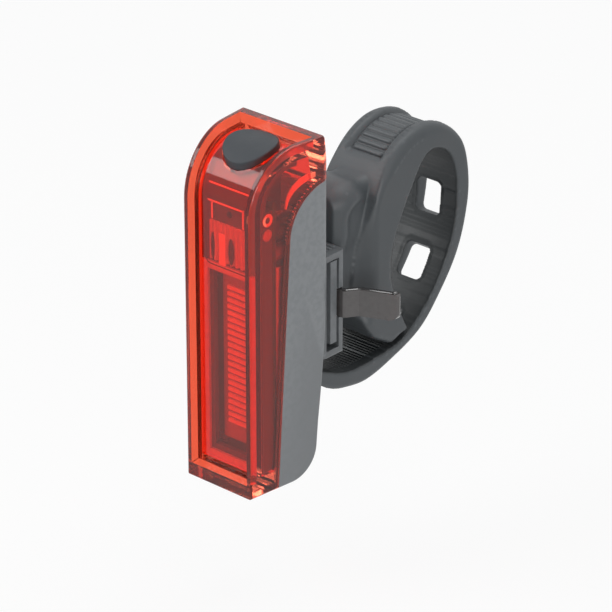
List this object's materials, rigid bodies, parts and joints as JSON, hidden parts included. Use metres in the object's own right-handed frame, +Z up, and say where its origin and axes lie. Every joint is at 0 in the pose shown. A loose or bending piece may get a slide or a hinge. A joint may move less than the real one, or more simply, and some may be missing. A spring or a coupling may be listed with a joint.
{
  "type": "bike rear light",
  "caption": "Bike rear light with a wrap-over clear red lens, grey shell and top button, held to a tube by a looped rubber strap with a slide-off bracket and release lever.",
  "frame": {"origin": "on the axis of the tube that the strap's saddle holds, halfway across the strap", "axes": "+Z up the lamp, +X along the held tube towards the release lever's side, -Y the way the lens faces"},
  "size_m": [0.0354, 0.0811, 0.087],
  "materials": {
    "lens_red": "clear red, polished",
    "housing_grey": "satin",
    "button_rubber": "matt",
    "seal_rubber": "matt",
    "bezel_dark": "satin",
    "guide_clear": "clear",
    "board_white": "matt",
    "board_green": "satin",
    "emitter_yellow": "satin",
    "led_clear": "clear",
    "chip_black": "matt",
    "switch_black": "satin",
    "carrier_black": "matt",
    "steel": "bright",
    "socket_metal": "bright",
    "cell_foil": "satin",
    "foam_black": "open foam",
    "lead_red": "satin",
    "lead_black": "satin",
    "bracket_grey": "fine grain",
    "lever_brown": "glossy",
    "retainer_black": "matt",
    "strap_rubber": "matt"
  },
  "bodies": {
    "mount": {"mount_bracket": "bracket_grey", "lever_pin": "steel", "bracket_screws": "steel", "strap_retainer": "retainer_black", "rubber_strap": "strap_rubber"},
    "button": {"power_button": "button_rubber", "switch_plunger": "switch_black"},
    "latch_arm": {"latch_arm": "bracket_grey"},
    "release_lever": {"release_lever": "lever_brown"},
    "port_cover": {"port_cover": "seal_rubber"},
    "lamp": {"front_lens": "lens_red", "rear_housing": "housing_grey", "housing_gasket": "seal_rubber", "switch_body": "switch_black", "switch_board": "board_green", "switch_carrier": "carrier_black", "main_board": "board_green", "board_screws": "steel", "board_components": "chip_black", "led_board": "board_white", "cob_emitters": "emitter_yellow", "window_leds": "led_clear", "indicator_led": "led_clear", "inner_bezel": "bezel_dark", "light_guide": "guide_clear", "window_prism": "guide_clear", "battery_cell": "cell_foil", "battery_foam": "foam_black", "red_lead": "lead_red", "black_lead": "lead_black", "charge_board": "board_green", "charging_socket": "socket_metal"}
  },
  "joints": [
    {"name": "lamp_slide", "type": "slide", "parent": "mount", "child": "lamp", "axis": [0, 0, 1], "range_m": [0, 0.024]},
    {"name": "power_press", "type": "slide", "parent": "lamp", "child": "button", "axis": [0, 0.2419, -0.9703], "range_m": [0, 0.0005], "stiffness_N_per_m": 400},
    {"name": "cover_turn", "type": "hinge", "parent": "lamp", "child": "port_cover", "pos_m": [0, -0.0394, 0.025], "axis": [1, 0, 0], "range_deg": [0, 100], "stiffness_Nm_per_rad": 0.002},
    {"name": "lever_turn", "type": "hinge", "parent": "mount", "child": "release_lever", "pos_m": [0.0086, -0.0313, -0.00415], "axis": [0, 0, 1], "range_deg": [0, 22], "stiffness_Nm_per_rad": 0.05},
    {"name": "arm_flex", "type": "hinge", "parent": "mount", "child": "latch_arm", "pos_m": [0.0091, -0.0339, 0.0068], "axis": [0, -1, 0], "range_deg": [0, 4.8], "stiffness_Nm_per_rad": 0.05}
  ],
  "couplings": [
    {"joint": "arm_flex", "follows": "lever_turn", "ratio": 0.21}
  ]
}
